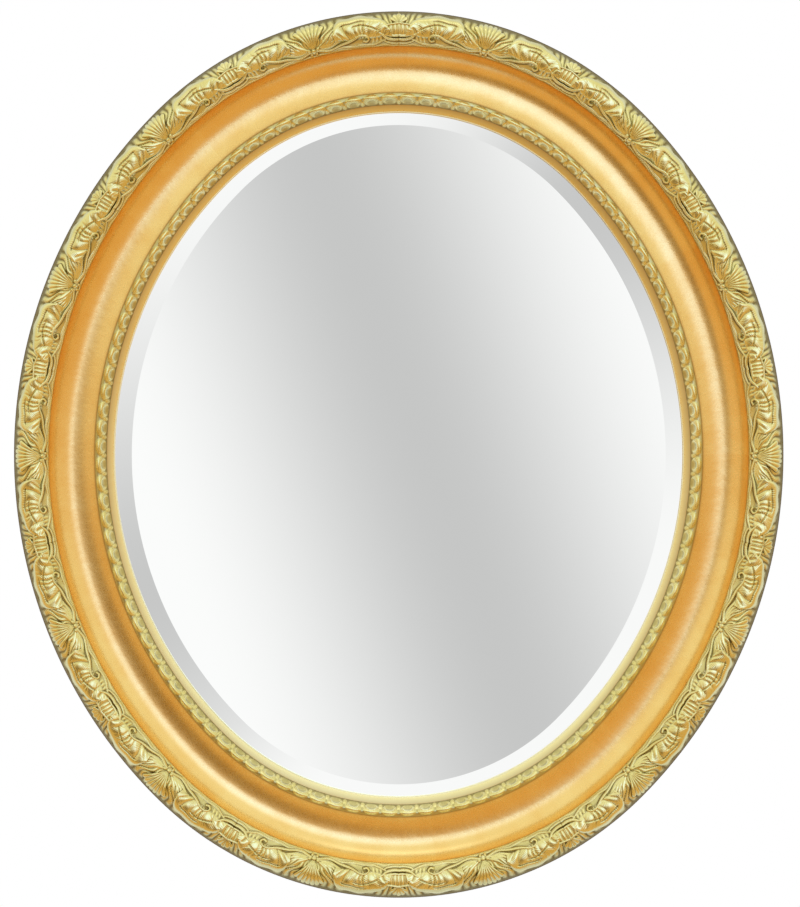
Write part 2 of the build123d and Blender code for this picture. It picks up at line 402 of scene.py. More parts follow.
def gilding(name, leaf, warm, toning_and_shade_colour, smoothness):
    """Gold leaf laid over clay and gesso, burnished, then toned brown: the toning is rubbed off the high parts. The
    same brown is laid deeper into creases, recesses and corners as painted shade.
    """
    made, tree = new_material(name)
    maths = maths_in(tree)
    straight = add(tree, "ShaderNodeAttribute", attribute_name="moulding")["Vector"]
    toning_and_painted_shade = add(tree, "ShaderNodeAttribute", attribute_name="toning_and_painted_shade")["Fac"]

    # Leaves are 80 mm square: each has its own tone, and a thin line shows where it laps over the next
    leaf_size = 80 * mm
    along, outward = add(tree, "ShaderNodeSeparateXYZ", {0: straight})[:2]
    wobble = grain_noise(tree, 30 * mm)
    leaves = maths("MULTIPLY_ADD", wobble, 0.06, maths("DIVIDE", along, leaf_size))
    own = add(tree, "ShaderNodeTexWhiteNoise", {"W": maths("FLOOR", leaves)}, noise_dimensions="1D")[0]
    lap = spread(tree, maths("FRACT", leaves), 1.0, 0.0, 0.0, 0.012)

    cloud = grain_noise(tree, 22 * mm, 4.0)
    tone = mix(tree, spread(tree, cloud, 0.0, 0.65, 0.40, 0.70), leaf, warm)
    tone = mix(tree, spread(tree, own, 0.0, 0.35), tone, warm)
    tone = mix(tree, spread(tree, lap, 0.0, 0.25), tone, leaf)
    # The lip next to the glass has the paler leaf of the carving
    tone = mix(tree, spread(tree, outward, 1.0, 0.0, 5 * mm, 7 * mm), tone, colour("#F8F4CE"))
    # Brown toning and painted shade: low parts, creases and corners are darkened towards the deep brown
    tone = mix(tree, spread(tree, toning_and_painted_shade, 0.0, 0.96), tone, toning_and_shade_colour)
    fine = grain_noise(tree, 0.9 * mm, 2.0)
    rough = spread(tree, fine, smoothness - 0.04, smoothness + 0.05, 0.3, 0.7)
    rough = maths("MULTIPLY_ADD", toning_and_painted_shade, 0.25, rough)
    wrinkle = grain_noise(tree, 5 * mm, 4.0)
    finish_surface(tree, {"Base Color": tone, "Metallic": 1.0, "Roughness": rough}, wrinkle, 0.12 * mm)
    return made


def mirror_silver():
    """Float glass silvered behind: a clear, neutral reflection."""
    made, tree = new_material("silvered float glass")
    finish_surface(tree, {"Base Color": colour("#FBFCFB"), "Metallic": 1.0, "Roughness": 0.0})
    return made


def backing_paint():
    """Grey protective paint over the silver, rolled on."""
    made, tree = new_material("rolled grey backing paint")
    roll = grain_noise(tree, 1.5 * mm, 2.0)
    tone = mix(tree, roll, colour("#6F7072"), colour("#7C7D7F"))
    finish_surface(tree, {"Base Color": tone, "Roughness": 0.55}, roll, 0.05 * mm)
    return made


def bare_wood(name, grain_along_x):
    """Limewood, planed and left bare: fine straight grain and darker late-wood lines."""
    made, tree = new_material(name)
    stretch = (0.06, 1, 1) if grain_along_x else (1, 1, 0.06)
    lines = grain_noise(tree, 2.2 * mm, 5.0, stretch)
    bands = grain_noise(tree, 14 * mm, 3.0, stretch)
    tone = mix(tree, spread(tree, bands, 0, 1, 0.35, 0.65), colour("#C9A87A"), colour("#B48E5C"))
    tone = mix(tree, spread(tree, lines, 0.0, 0.5, 0.45, 0.75), tone, colour("#94703F"))
    finish_surface(tree, {"Base Color": tone, "Roughness": 0.62}, lines, 0.08 * mm)
    return made


def hardboard():
    """Hardboard, pressed wood fibre: brown and mottled, with a fine mesh pattern pressed into its rough side."""
    made, tree = new_material("pressed hardboard")
    maths = maths_in(tree)
    place = add(tree, "ShaderNodeTexCoord")["Object"]
    mesh_pitch = 1.6 * mm
    x, _, z = add(tree, "ShaderNodeSeparateXYZ", {0: place})
    waves = [maths("SINE", maths("MULTIPLY", axis, 2 * math.pi / mesh_pitch)) for axis in (x, z)]
    weave = maths("MULTIPLY", *waves)
    fibre = grain_noise(tree, 1.2 * mm, 6.0, (1, 1, 0.5))
    blotch = grain_noise(tree, 45 * mm, 3.0)
    tone = mix(tree, spread(tree, blotch, 0, 1, 0.35, 0.65), colour("#7A5433"), colour("#6A4629"))
    tone = mix(tree, spread(tree, fibre, 0.0, 0.6, 0.35, 0.75), tone, colour("#9C7449"))
    tone = mix(tree, spread(tree, weave, 0.0, 0.28, -1.0, 1.0), tone, colour("#4F331C"))
    bump = maths("MULTIPLY_ADD", weave, 0.3, fibre)
    finish_surface(tree, {"Base Color": tone, "Roughness": 0.72}, bump, 0.12 * mm)
    return made


def plated_steel(name, bright, dull, roughness):
    """Plated steel pressing: a satin metal with faint cloudy spots and fine rolling scratches."""
    made, tree = new_material(name)
    cloud = grain_noise(tree, 3.5 * mm, 5.0)
    scratch = grain_noise(tree, 0.35 * mm, 2.0, (1, 1, 0.05))
    tone = mix(tree, spread(tree, cloud, 0.0, 1.0, 0.35, 0.7), bright, dull)
    rough = spread(tree, cloud, roughness - 0.05, roughness + 0.1, 0.3, 0.7)
    finish_surface(tree, {"Base Color": tone, "Metallic": 1.0, "Roughness": rough}, scratch, 0.012 * mm)
    return made


def brown_felt():
    """Pressed wool felt, die cut: matt, with a fuzzy fibre surface."""
    made, tree = new_material("pressed wool felt")
    fibre = grain_noise(tree, 0.5 * mm, 6.0, (1, 0.4, 1))
    tone = mix(tree, spread(tree, fibre, 0, 1, 0.3, 0.7), colour("#4A382A"), colour("#6E5743"))
    finish_surface(tree, {"Base Color": tone, "Roughness": 0.95, "Sheen Weight": 0.5, "Sheen Roughness": 0.6},
                   fibre, 0.25 * mm)
    return made


# The third colour of each gilding is the brown of its toning and of the painted shade in its hollows
cove_gilding = gilding("water-gilded wood", colour("#FAE3AA"), colour("#F3D08C"), colour("#7A4E18"), 0.29)
carving_gilding = gilding("gilded pressed composition", colour("#EFEDBC"), colour("#DFD896"), colour("#5A4412"), 0.25)
wood_along_z = bare_wood("planed limewood, upright grain", grain_along_x=False)
wood_along_x = bare_wood("planed limewood, level grain", grain_along_x=True)
silver = mirror_silver()
paint = backing_paint()
zinc = plated_steel("zinc-plated steel", colour("#C9CBCB"), colour("#A9ABAD"), 0.34)
brass = plated_steel("brass-plated steel", colour("#E6C67E"), colour("#C79E55"), 0.28)
felt = brown_felt()


# Frame

quarter_turn = math.pi / 2
turn_names = ("top", "left", "bottom", "right")
turn_radii = (end_radius, side_radius, end_radius, side_radius)
turn_lengths = [radius * quarter_turn for radius in turn_radii]


def frame_section():
    """Outline of the frame wood, how many of its last sides are bare wood, and how dark its points are: brown toning
    and painted shade in the corners by the edging and under the carving.
    """
    cove = np.vstack([arc_from_low(cove_low_point, edging_outer, 14)[::-1],
                      arc_from_low(cove_low_point, cove_outer, 31)[1:]])
    gilded = [(0, rebate[1], 0.6 * mm), (0, lip_top, 1.3 * mm), (*edging_inner, 0)]
    gilded += [(*point, 0) for point in cove]
    gilded += [(*torus_ridge, 0), (*outer_edge, 0.8 * mm), (*back_edge, 1.2 * mm)]
    bare = [(rebate[0], 0, 0.4 * mm), (*rebate, 0)]
    outline = rounded(gilded + bare)
    bare_sides = len(rounded([(0, 0, 0), *bare]))
    toning_and_shade_reach = 1.6 * mm
    # Brown toning and painted shade darken the frame close to these corners
    corner_toning_and_shade = [strength * np.clip(1 - np.hypot(*(outline - place).T) / toning_and_shade_reach, 0, 1)
             for place, strength in ((edging_inner, 0.4), (edging_outer, 0.6), (cove_outer, 0.6))]
    return outline, bare_sides, np.max(corner_toning_and_shade, axis=0)


def rows_along(outline, length, rows):
    """The same outline at even steps along a straight length."""
    points = np.zeros((rows, len(outline), 3))
    points[..., 0] = evenly(0, length, rows)[:, None]
    points[..., 1:] = outline
    return points


section, bare_sides, corner_toning_and_shade = frame_section()
frame_rows = 120
at = 0.0
for turn, length, wood in zip(turn_names, turn_lengths, (wood_along_x, wood_along_z) * 2):
    # The frame's points carry their brown toning and painted shade to the gilding
    straight = mesh_of_rows("straight frame", rows_along(section, length, frame_rows),
                            {"toning_and_painted_shade": np.tile(corner_toning_and_shade, frame_rows)})
    bare = np.tile(np.arange(len(section)) >= len(section) - bare_sides, frame_rows - 1)
    straight.attributes.new("bare", "BOOLEAN", "FACE").data.foreach_set("value", bare)
    bent = bend(straight, at, 0.0, cove_gilding, wood)
    close_ends(bent, sharp_angle=35)
    piece(f"gilded_frame_{turn}", bent, "mirror", "gilt_wood", f"frame_{turn}")
    at += length


# Relief of the pressed ornament. Lengths in it are millimetres, as its maker would draw it

repeat_half = 79.4
relief_width = 31.6


def round_ridge(distance, half_width):
    """Height of a ridge with a round back: 1 on its line, 0 from its sides on."""
    return np.sqrt(np.clip(1 - (distance / half_width) ** 2, 0, 1))


def ease(value, start, end):
    """0 before start, 1 after end, smooth between."""
    share = np.clip((value - start) / (end - start), 0, 1)
    return share * share * (3 - 2 * share)


def smooth_line(points, steps=10):
    """Smooth line through a few points."""
    p = np.array([points[0], *points, points[-1]], float)
    t = evenly(0, 1, steps + 1)[:-1, None]
    line = [
        0.5 * (2 * b + (c - a) * t + (2 * a - 5 * b + 4 * c - d) * t**2 + (3 * b - a - 3 * c + d) * t**3)
        for a, b, c, d in zip(p, p[1:], p[2:], p[3:])
    ]
    return np.vstack([*line, p[-1:]])


def from_line(x, d, points):
    """Distance from a smooth line, and how far along it the nearest point lies, 0 to 1."""
    line = smooth_line(points)
    runs = np.hypot(*np.diff(line, axis=0).T)
    reached = np.concatenate([[0], np.cumsum(runs)])
    near = np.full(x.shape, np.inf)
    along = np.zeros(x.shape)
    for (start_x, start_d), (end_x, end_d), before, run in zip(line, line[1:], reached, runs):
        share = ((x - start_x) * (end_x - start_x) + (d - start_d) * (end_d - start_d)) / run**2
        share = np.clip(share, 0, 1)
        away = np.hypot(x - start_x - share * (end_x - start_x), d - start_d - share * (end_d - start_d))
        closer = away < near
        near = np.where(closer, away, near)
        along = np.where(closer, (before + share * run) / reached[-1], along)
    return near, along


def ribbon(x, d, points, half_width, taper):
    """Round ribbon along a smooth line, narrower towards its ends."""
    near, along = from_line(x, d, points)
    width = half_width * (1 - taper + taper * np.sin(np.pi * np.clip(along, 0.02, 0.98)) ** 0.5)
    return round_ridge(near, width)


def fan(x, d, centre, reach, half_spread, ribs, scallop):
    """Ribbed fan that opens towards the outer edge. Gives its height, 0 outside it, and the share of its reach."""
    out = np.hypot(x - centre[0], centre[1] - d)
    turn = np.arctan2(x - centre[0], centre[1] - d)
    pitch = 2 * half_spread / ribs
    rib = round_ridge((turn + pitch / 2) % pitch - pitch / 2, pitch / 1.9)
    end = reach - scallop + scallop * rib
    inside = ease(end - out, 0, 0.9) * ease(half_spread - np.abs(turn), 0, 0.03)
    return inside * (0.62 + 0.38 * rib), np.clip(out / reach, 0, 1)


def big_leaves(x, d):
    """Broad leaf on each side of the shell, with a rolled rim towards the outer edge, lines along it and creases."""
    rim = [(20.5, 15.5), (21.5, 9.0), (27.5, 4.6), (36, 3.2), (47, 3.0), (58, 5.0), (66.5, 9.5), (72.5, 15.5)]
    near, along = from_line(x, d, rim)
    line = smooth_line(rim)
    inside = (d > np.interp(x, line[:, 0], line[:, 1])) & (x > rim[0][0]) & (x < rim[-1][0])
    width = 2.4 + 1.9 * np.sin(np.pi * along) ** 0.8
    rolled = round_ridge(np.minimum(near - width, 0), width)
    lines = np.maximum(round_ridge(near - 6.2, 0.7) * ease(along, 0.10, 0.2) * ease(0.62 - along, 0, 0.1),
                       round_ridge(near - 9.8, 0.7) * ease(along, 0.35, 0.45) * ease(0.92 - along, 0, 0.1))
    turn = np.arctan2(x - 46, 50 - d)
    turn = turn + 0.05 * np.sin(9 * turn)
    crease = (1 - np.abs(np.cos(np.pi * turn / 0.155)) ** 0.35) * (0.65 + 0.35 * np.sin(13 * turn + 1))
    body = 0.95 * rolled - 0.012 * np.maximum(near - width, 0) - 0.20 * lines
    body = body - 0.38 * crease * ease(near - width, 0, 5)
    return np.where(inside, np.maximum(body, 0.1) * ease(26.5 - d, 0, 4), 0)


def folded_ground(x, d):
    """Ground of leaf folds, lowest along the outer edge. They spread from the knot and the cartouche's foot."""
    near_knot = x < 36 + 0.5 * d
    turn = np.where(near_knot, np.arctan2(x, 31 - d) / 0.17, np.arctan2(repeat_half - x, 31 - d) / 0.15)
    fold = np.abs(np.cos(np.pi * (turn + 0.2 * np.sin(0.5 * d)))) ** 0.7
    return 0.04 + 0.26 * ease(d, 5, 17) + 0.32 * fold * ease(d, 0.5, 5) * (1 - 0.9 * ease(d, 19, 26))


def fine_veins(x, d):
    """Shallow veins tooled over every leaf, from 0 to 1 deep."""
    turn = np.arctan2(x - 24, 40 - d) / 0.055 + 0.6 * np.sin(0.4 * d)
    return (1 - np.abs(np.cos(np.pi * turn)) ** 0.5) * (0.5 + 0.5 * np.sin(0.55 * x + 0.35 * d))


def acanthus_fingers(x, d):
    """Three veined fingers that spread from the knot on each side of the shell."""
    height = np.zeros(x.shape)
    for tip_x, tip_d in ((23.5, 11.0), (30.0, 14.5), (36.0, 18.5)):
        middle = (4.5 + (tip_x - 4.5) * 0.45, 26.0 - (26.0 - tip_d) * 0.30)
        near, along = from_line(x, d, [(4.5, 26.5), middle, (tip_x, tip_d)])
        width = 2.9 * np.sin(np.pi * np.clip(along * 0.9 + 0.1, 0, 0.97)) ** 0.6 + 0.05
        back = round_ridge(near, width)
        height = np.maximum(height, (back > 0) * (0.38 + 0.34 * back - 0.22 * round_ridge(near, 0.55)))
    return height


def upright_fingers(x, d):
    """Four short fingers between the ribbon's curl and the cartouche."""
    height = np.zeros(x.shape)
    for middle in (55.2, 58.9, 62.6, 66.3):
        lean = (middle - 60.5) * 0.012 * (20 - d)
        height = np.maximum(height, 0.66 * round_ridge(x - middle - lean, 1.75) * round_ridge(d - 20.8, 8.2))
    return height


def shell(u, d):
    """Seven-ribbed shell in the middle of each repeat."""
    height, out = fan(u, d, (0, 27.0), 25.2, 0.64, 7, 2.6)
    return height * (0.50 + 0.50 * np.sin(np.pi * 0.78 * out**1.4) ** 1.2)


def cartouche(q, d):
    """Ribbed panel under an arch, with a small crest above it and a sill below. q is the distance from its middle."""
    arch = 10.2 + 3.2 * (q / 12.2) ** 2
    inset = np.minimum(np.minimum(d - arch, 12.4 - q), 24.2 - d)
    rib = np.abs(np.cos(np.pi * q / 3.3)) ** 0.6
    panel = np.maximum(0.34 + 0.20 * round_ridge(q, 14) + 0.20 * rib, 0.55 + 0.30 * round_ridge(inset - 1.2, 1.25))
    crest, out = fan(q, d, (0, 11.5), 9.6, 1.25, 5, 1.6)
    sill = 0.92 * ribbon(q, d, [(-3, 25.9), (8, 25.9), (12.5, 24.9), (15.4, 22.4), (17.6, 20.6)], 1.75, 0.3)
    under = 0.60 * ribbon(q, d, [(-3, 29.0), (9, 28.8), (13.5, 27.6)], 1.1, 0.3)
    forms = (panel * ease(inset, 0, 0.8), crest * (0.45 + 0.3 * out) * (d < 12), sill, under)
    return np.maximum.reduce(forms)


def knot(x, d):
    """Small round lobes where the shell, the fingers and the ribbons meet."""
    lobes = ((0, 27.4, 2.7), (3.9, 26.4, 2.0), (2.4, 29.6, 1.6))
    return np.maximum.reduce([round_ridge(np.hypot(x - at_x, d - at_d), size) for at_x, at_d, size in lobes])


def ornament_relief(u, d):
    """Height of the ornament over one repeat, from 0 at its ground to 1 at its highest.

    u runs along from the middle of the shell, d inward from the outer edge as seen from the front.
    """
    x = np.abs(u)
    # The mould was cut by hand: its lines waver a little, but not where one repeat meets the next
    waver = 0.7 * np.sin(0.42 * d + 0.9) * ease(x, 2, 9) * ease(repeat_half - x, 2, 9)
    x, d = x + waver, d + 0.5 * np.sin(0.31 * x)
    curl = [(3, 27.6), (12, 29.0), (24, 27.6), (35, 24.4), (43, 22.2), (48.6, 22.2), (51.2, 24.6), (49.6, 27.0),
            (46.6, 26.6)]
    stem = [(14, 30.4), (30, 29.2), (46, 29.8), (60, 28.6), (69, 25.6)]
    leaves = np.maximum(folded_ground(x, d), big_leaves(x, d)) - 0.09 * fine_veins(x, d)
    return np.maximum.reduce([
        np.maximum(leaves, 0),
        acanthus_fingers(x, d),
        upright_fingers(x, d),
        shell(u, d),
        cartouche(repeat_half - x, d),
        0.90 * ribbon(x, d, curl, 1.5, 0.2),
        0.66 * ribbon(x, d, stem, 1.3, 0.3),
        knot(x, d),
        0.55 * round_ridge(d - 30.9, 0.95),
    ])


def window_mean(field, size):
    """Mean over a square window. The first axis is taken to repeat."""
    for axis, mode in ((0, "wrap"), (1, "edge")):
        margin = [(0, 0), (0, 0)]
        margin[axis] = (size, size)
        total = np.cumsum(np.pad(field, margin, mode=mode), axis=axis)
        count = field.shape[axis]
        field = (np.take(total, range(2 * size, 2 * size + count), axis=axis)
                 - np.take(total, range(count), axis=axis)) / (2 * size)
    return field


def hollows(height, size, strength):
    """How deep each point lies below its surroundings, 0 to 1."""
    return np.clip((window_mean(height, size) - height) * strength, 0, 1)


def ornament_tile(length, rows=400, across=104):
    """One repeat of the ornament, straight."""
    envelope = arc_through(cove_outer, (torus_ridge[0], ornament_crest), outer_edge, across)
    ground = arc_through(cove_outer, (torus_ridge[0], ornament_ground), outer_edge, 4 * across)
    ground_height = np.interp(envelope[:, 0], ground[:, 0], ground[:, 1])
    inward = (outer_edge[0] - envelope[:, 0]) / (outer_edge[0] - cove_outer[0]) * relief_width
    u, d = np.meshgrid(evenly(-repeat_half, repeat_half, rows), inward, indexing="ij")
    height = ornament_relief(u, d)
    tucked = 0.3 * mm
    underside = [(outer_edge[0] - tucked, outer_edge[1]), torus_ridge, (cove_outer[0] + tucked, cove_outer[1])]
    points = rows_along(np.vstack([envelope, underside]), length, rows)
    points[:, :across, 2] = ground_height + height * (envelope[:, 1] - ground_height)
    # Painted shade, with some brown toning: the creases, the low ground between the forms and a thin line along the
    # outer edge are darkened
    crease_shade = np.maximum(hollows(height, 2, 7.0), hollows(height, 7, 2.2))
    ground_and_edge_shade = np.maximum(0.80 * (1 - ease(height, 0.10, 0.42)), 1 - ease(d, 0.5, 2.2))
    toning_and_painted_shade = np.pad(np.maximum(crease_shade, ground_and_edge_shade), ((0, 0), (0, len(underside))))
    return mesh_of_rows("ornament repeat", points, {"toning_and_painted_shade": toning_and_painted_shade})


reference_length = sum((radius + ornament_reference) * quarter_turn for radius in turn_radii)
strip_length = repeats_per_strip * reference_length / repeats
repeat_length = (strip_length - strip_seam) / repeats_per_strip
tile = ornament_tile(repeat_length)
for number in range(repeats // repeats_per_strip):
    start = (end_radius + ornament_reference) * quarter_turn / 2 + number * strip_length
    bent = bend(tile.copy(), start, ornament_reference, carving_gilding,
                copies=repeats_per_strip, spacing=repeat_length)
    close_ends(bent)
    piece(f"gilded_ornament_{number + 1}", bent, "mirror", "gilt_ornament", f"ornament_strip_{number + 1}")


# Leaf edging next to the glass

leaves_on_ends = 22
leaves_on_sides = 34
leaf_half = 7.85


def edging_relief(u, w):
    """One leaf of the edging: a rounded scale with a bite on the side next to the glass, and a bud beside it.

    u runs along from the middle of the leaf, w outward from the side next to the glass. Both are in millimetres.
    """
    x = np.abs(u)
    scale = round_ridge(np.hypot(x / 7.8, (w - 4.9) / 4.6), 1)
    bite = round_ridge(np.hypot((x - 0.6) / 3.4, (w - 2.6) / 2.2), 1)
    bud = 0.62 * round_ridge(np.hypot((leaf_half - x) / 2.2, (w - 2.4) / 2.4), 1)
    return np.maximum.reduce([0.10 + 0.25 * ease(w, 1, 6), scale * (1 - 0.6 * bite), bud])


def edging_tile(length, rows=33, across=21):
    """One leaf of the edging, straight."""
    envelope = np.vstack([
        arc_through(edging_inner, edging_rise, edging_crest, across - 6),
        arc_through(edging_crest, edging_fall, edging_outer, 7)[1:],
    ])
    outward = envelope[:, 0]
    ground = np.interp(outward, [edging_inner[0], edging_step, edging_outer[0]],
                       [edging_inner[1], edging_outer[1], edging_outer[1]])
    u, w = np.meshgrid(evenly(-leaf_half, leaf_half, rows), (outward - edging_inner[0]) / mm, indexing="ij")
    height = edging_relief(u, w)
    points = rows_along(envelope, length, rows)
    points[..., 2] = ground + height * (envelope[:, 1] - ground)
    # Painted shade, with some brown toning: the creases and the low gaps between the leaves are darkened
    toning_and_painted_shade = np.maximum(hollows(height, 2, 3.0), 0.65 * (1 - ease(height, 0.15, 0.55)))
    return mesh_of_rows("edging leaf", points, {"toning_and_painted_shade": toning_and_painted_shade})


at = 0.0
for turn, length, leaves in zip(turn_names, turn_lengths, (leaves_on_ends, leaves_on_sides) * 2):
    leaf_length = (length - strip_seam) / leaves
    bent = bend(edging_tile(leaf_length), at, 0.0, carving_gilding, copies=leaves, spacing=leaf_length)
    close_ends(bent)
    piece(f"leaf_edging_strip_{turn}", bent, "mirror", "gilt_ornament", f"leaf_edging_{turn}")
    at += length


# Mirror glass

glass_points = 256
half_size = np.array([glass_high.x, glass_high.z])
back_y, front_y = glass_high.y, glass_low.y


def glass_ring(inset, y):
    """Ring of points around the glass, inset at the sides and ends by two amounts."""
    flat = oval(half_size[0] - inset[0], half_size[1] - inset[1], glass_points)
    return np.stack([flat[:, 0], np.full(glass_points, y), flat[:, 1]], axis=-1)


bevel = np.array([bevel_at_sides, bevel_at_ends])
glass_rows = [glass_ring((0, 0), back_y), glass_ring((0, 0), back_y - glass_edge)]
glass_rows += [glass_ring(bevel * share, back_y - glass_edge + (front_y - back_y + glass_edge) * share)
               for share in evenly(0, 1, 6)[1:]]
glass_mesh = solid("glass", glass_rows, sharp_angle=2.5)
glass_mesh.materials.append(silver)
glass_mesh.materials.append(paint)
for face in glass_mesh.polygons:
    face.material_index = int(face.normal.y > -0.5)
piece("bevelled_mirror_glass", glass_mesh, "mirror", "mirror", "mirror_glass")


# Backing: the panel and the splines keep their CAD solids

for node, finish in (("back_panel", hardboard()), ("joint_splines", wood_along_z)):
    frame["nodes"][node].data.materials.clear()
    frame["nodes"][node].data.materials.append(finish)


# Screws, turn buttons and hanger

screw_radius = 1.75 * mm
screw_head_radius = 3.4 * mm
screw_head_height = 1.8 * mm
screw_length = 13 * mm
button_length = 34 * mm
button_width = 12 * mm
button_thickness = 1.6 * mm
button_corner = 4.6 * mm
edge_round = 0.3 * mm
round_steps = 48


def turned(name, profile):
    """Solid turned about Z from a profile of radii and heights, which starts and ends on the axis."""
    angle = around(round_steps)
    rows = [np.stack([radius * np.cos(angle), radius * np.sin(angle), np.full(round_steps, height)], axis=-1)
            for radius, height in profile]
    return solid(name, rows, sharp_angle=40)


def cut(mesh, cutter):
    """Mesh with another one taken out of it."""
    whole, tool = put("whole", mesh), put("tool", cutter)
    whole.modifiers.new("cut", "BOOLEAN").object = tool
    made = baked(whole)
    for each in (whole, tool):
        bpy.data.objects.remove(each)
    made.shade_smooth()
    made.set_sharp_from_angle(angle=math.radians(30))
    return made


def cross_recess():
    """Tapered cross that is pressed into a screw head."""
    arm_reach, arm_side, depth = 1.8 * mm, 0.375 * mm, 1.1 * mm
    arm = [(arm_reach, -arm_side), (arm_reach, arm_side), (arm_side, arm_side)]
    cross = np.array([(x * cos - y * sin, x * sin + y * cos)
                      for cos, sin in ((1, 0), (0, 1), (-1, 0), (0, -1)) for x, y in arm])
    rows = [np.column_stack([cross * scale, np.full(len(cross), screw_head_height + height)])
            for scale, height in ((0.45, -depth), (1.0, depth))]
    return solid("recess", rows)


def screw_mesh():
    """Pan-head screw with a cross recess, its head above the plane z = 0."""
    rim, tip_length, near_axis = 0.5 * mm, 2.5 * mm, 0.02 * mm
    dome = [(screw_head_radius * math.cos(step) ** 0.6, rim + (screw_head_height - rim) * math.sin(step))
            for step in evenly(0, math.pi / 2, 9)[:-1]]
    profile = [(near_axis, screw_head_height), *reversed(dome), (screw_head_radius, 0), (screw_radius, 0),
               (screw_radius, tip_length - screw_length), (near_axis, -screw_length)]
    return cut(turned("screw", profile), cross_recess())


def make_screw_tree():
    """A screw at each point, head towards the wall and turned at random."""
    tree, given = new_tree("screws", {"Screw": "Object", "Seed": "Int", "Finish": "Material"})
    model = add(tree, "GeometryNodeObjectInfo", {"Object": given["Screw"]})["Geometry"]
    turn = add(tree, "FunctionNodeRandomValue", {"Seed": given["Seed"], 2: 0.0, 3: math.pi})[1]
    spin = add(tree, "ShaderNodeCombineXYZ", {"Z": turn})[0]
    screws = add(tree, "GeometryNodeInstanceOnPoints",
                 {"Points": given["Geometry"], "Instance": model, "Rotation": (-math.pi / 2, 0, 0)})[0]
    spun = add(tree, "GeometryNodeRotateInstances", {"Instances": screws, "Rotation": spin})[0]
    real = add(tree, "GeometryNodeRealizeInstances", {"Geometry": spun})[0]
    done = add(tree, "GeometryNodeSetMaterial", {"Geometry": real, "Material": given["Finish"]})[0]
    add(tree, "NodeGroupOutput", {"Geometry": done})
    return tree


def drive_screws(name, node, spots, seed):
    """Screws whose heads are seated at the spots."""
    points = bpy.data.meshes.new("spots")
    points.from_pydata([tuple(spot) for spot in spots], [], [])
    model = put("screw", screw_mesh())
    mesh = grown(screw_tree, points, {"Screw": model, "Seed": seed, "Finish": zinc})
    bpy.data.objects.remove(model)
    piece(name, mesh, "mirror", "zinc_steel", node)


def plate(name, outline, low, high):
    """Flat pressing with softened edges. Its outline lies in X and Y, from low to high in Z."""
    middle = (outline.max(0) + outline.min(0)) / 2
    size = (outline.max(0) - outline.min(0)) / 2
    shrunk = (outline - middle) * (1 - edge_round / size) + middle
    levels = ((shrunk, low), (outline, low + edge_round), (outline, high - edge_round), (shrunk, high))
    rows = [np.column_stack([edge, np.full(len(edge), height)]) for edge, height in levels]
    return solid(name, rows, sharp_angle=50)


def swept_wire(name, path, radius, sides=24):
    """Closed round wire along a closed path that lies in X and Z."""
    before, after = np.roll(path, 1, axis=0), np.roll(path, -1, axis=0)
    run = after - before
    run /= np.linalg.norm(run, axis=1)[:, None]
    side = np.cross(run, (0, 1, 0))
    angle = around(sides)
    ring = side[:, None] * np.cos(angle)[None, :, None] + np.array([0, 1, 0]) * np.sin(angle)[None, :, None]
    points = path[:, None] + radius * ring
    return solid(name, np.vstack([points, points[:1]]))


screw_tree = make_screw_tree()
joints = {joint["child"]: joint for joint in frame["joints"]}
button_bodies = sorted(body for body in frame["bodies"] if body.startswith("button_"))
screw_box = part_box("button_screws")
head_seat = screw_box[1].y - screw_head_height
button_spots = [Vector(joints[body]["pos_m"]) for body in button_bodies]
drive_screws("button_pivot_screws", "button_screws", [(spot.x, head_seat, spot.z) for spot in button_spots], 3)

reach = button_length - button_width / 2
button_outline = rounded([
    (-reach, -button_width / 2, button_corner), (button_width / 2, -button_width / 2, button_corner),
    (button_width / 2, button_width / 2, button_corner), (-reach, button_width / 2, button_corner),
], steps=8)
hole_radius, drill, near_axis = 1.05 * screw_radius, 4 * mm, 0.01 * mm
pivot_hole = turned("hole", [(near_axis, -drill), (hole_radius, -drill), (hole_radius, drill), (near_axis, drill)])
button_plate = cut(plate("button", button_outline, 0, button_thickness), pivot_hole)
for body, spot in zip(button_bodies, button_spots):
    node = f"turn_{body}"
    low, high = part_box(node)
    outward = (spot - (low + high) / 2) * Vector((1, 0, 1))
    outward.normalize()
    mesh = button_plate.copy()
    turn = Matrix((outward, Vector((0, 1, 0)).cross(outward), (0, 1, 0))).transposed()
    mesh.transform(Matrix.Translation((spot.x, low.y, spot.z)) @ turn.to_4x4())
    mesh.materials.append(zinc)
    piece(f"{body}_plate", mesh, body, "zinc_steel", node)

strap_low, strap_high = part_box("hanger_strap")
strap_thickness = 1.2 * mm
strap_screw_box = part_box("strap_screws")
strap_seat = strap_screw_box[1].y - screw_head_height
drive_screws("hanger_strap_screws", "strap_screws", [
    (0, strap_seat, strap_screw_box[0].z + screw_head_radius),
    (0, strap_seat, strap_screw_box[1].z - screw_head_radius),
], 5)


def strap_section():
    """Outline of the bent strap, as height up the frame and distance off its back."""
    loop_radius = (strap_high.y + stand_off) / 2
    bend_radius = loop_radius - strap_thickness / 2
    leg = np.column_stack([evenly(strap_low.z + 0.1 * mm, strap_high.z - loop_radius, 8),
                           np.full(8, strap_thickness / 2)])
    angle = evenly(-math.pi / 2, math.radians(205), 40)[1:]
    loop = np.column_stack([strap_high.z - loop_radius + bend_radius * np.cos(angle),
                            loop_radius + bend_radius * np.sin(angle)])
    line = np.vstack([leg, loop])
    run = np.gradient(line, axis=0)
    run /= np.linalg.norm(run, axis=1)[:, None]
    side = np.column_stack([-run[:, 1], run[:, 0]]) * strap_thickness / 2
    return np.vstack([line + side, (line - side)[::-1]])


strap_outline = strap_section()
strap_rows = [np.column_stack([np.full(len(strap_outline), x), strap_outline[:, 1] - stand_off, strap_outline[:, 0]])
              for x in (strap_low.x, strap_high.x)]
strap_mesh = solid("strap", strap_rows, sharp_angle=40)
strap_mesh.materials.append(brass)
piece("hanger_strap_bent", strap_mesh, "mirror", "brassed_steel", "hanger_strap")

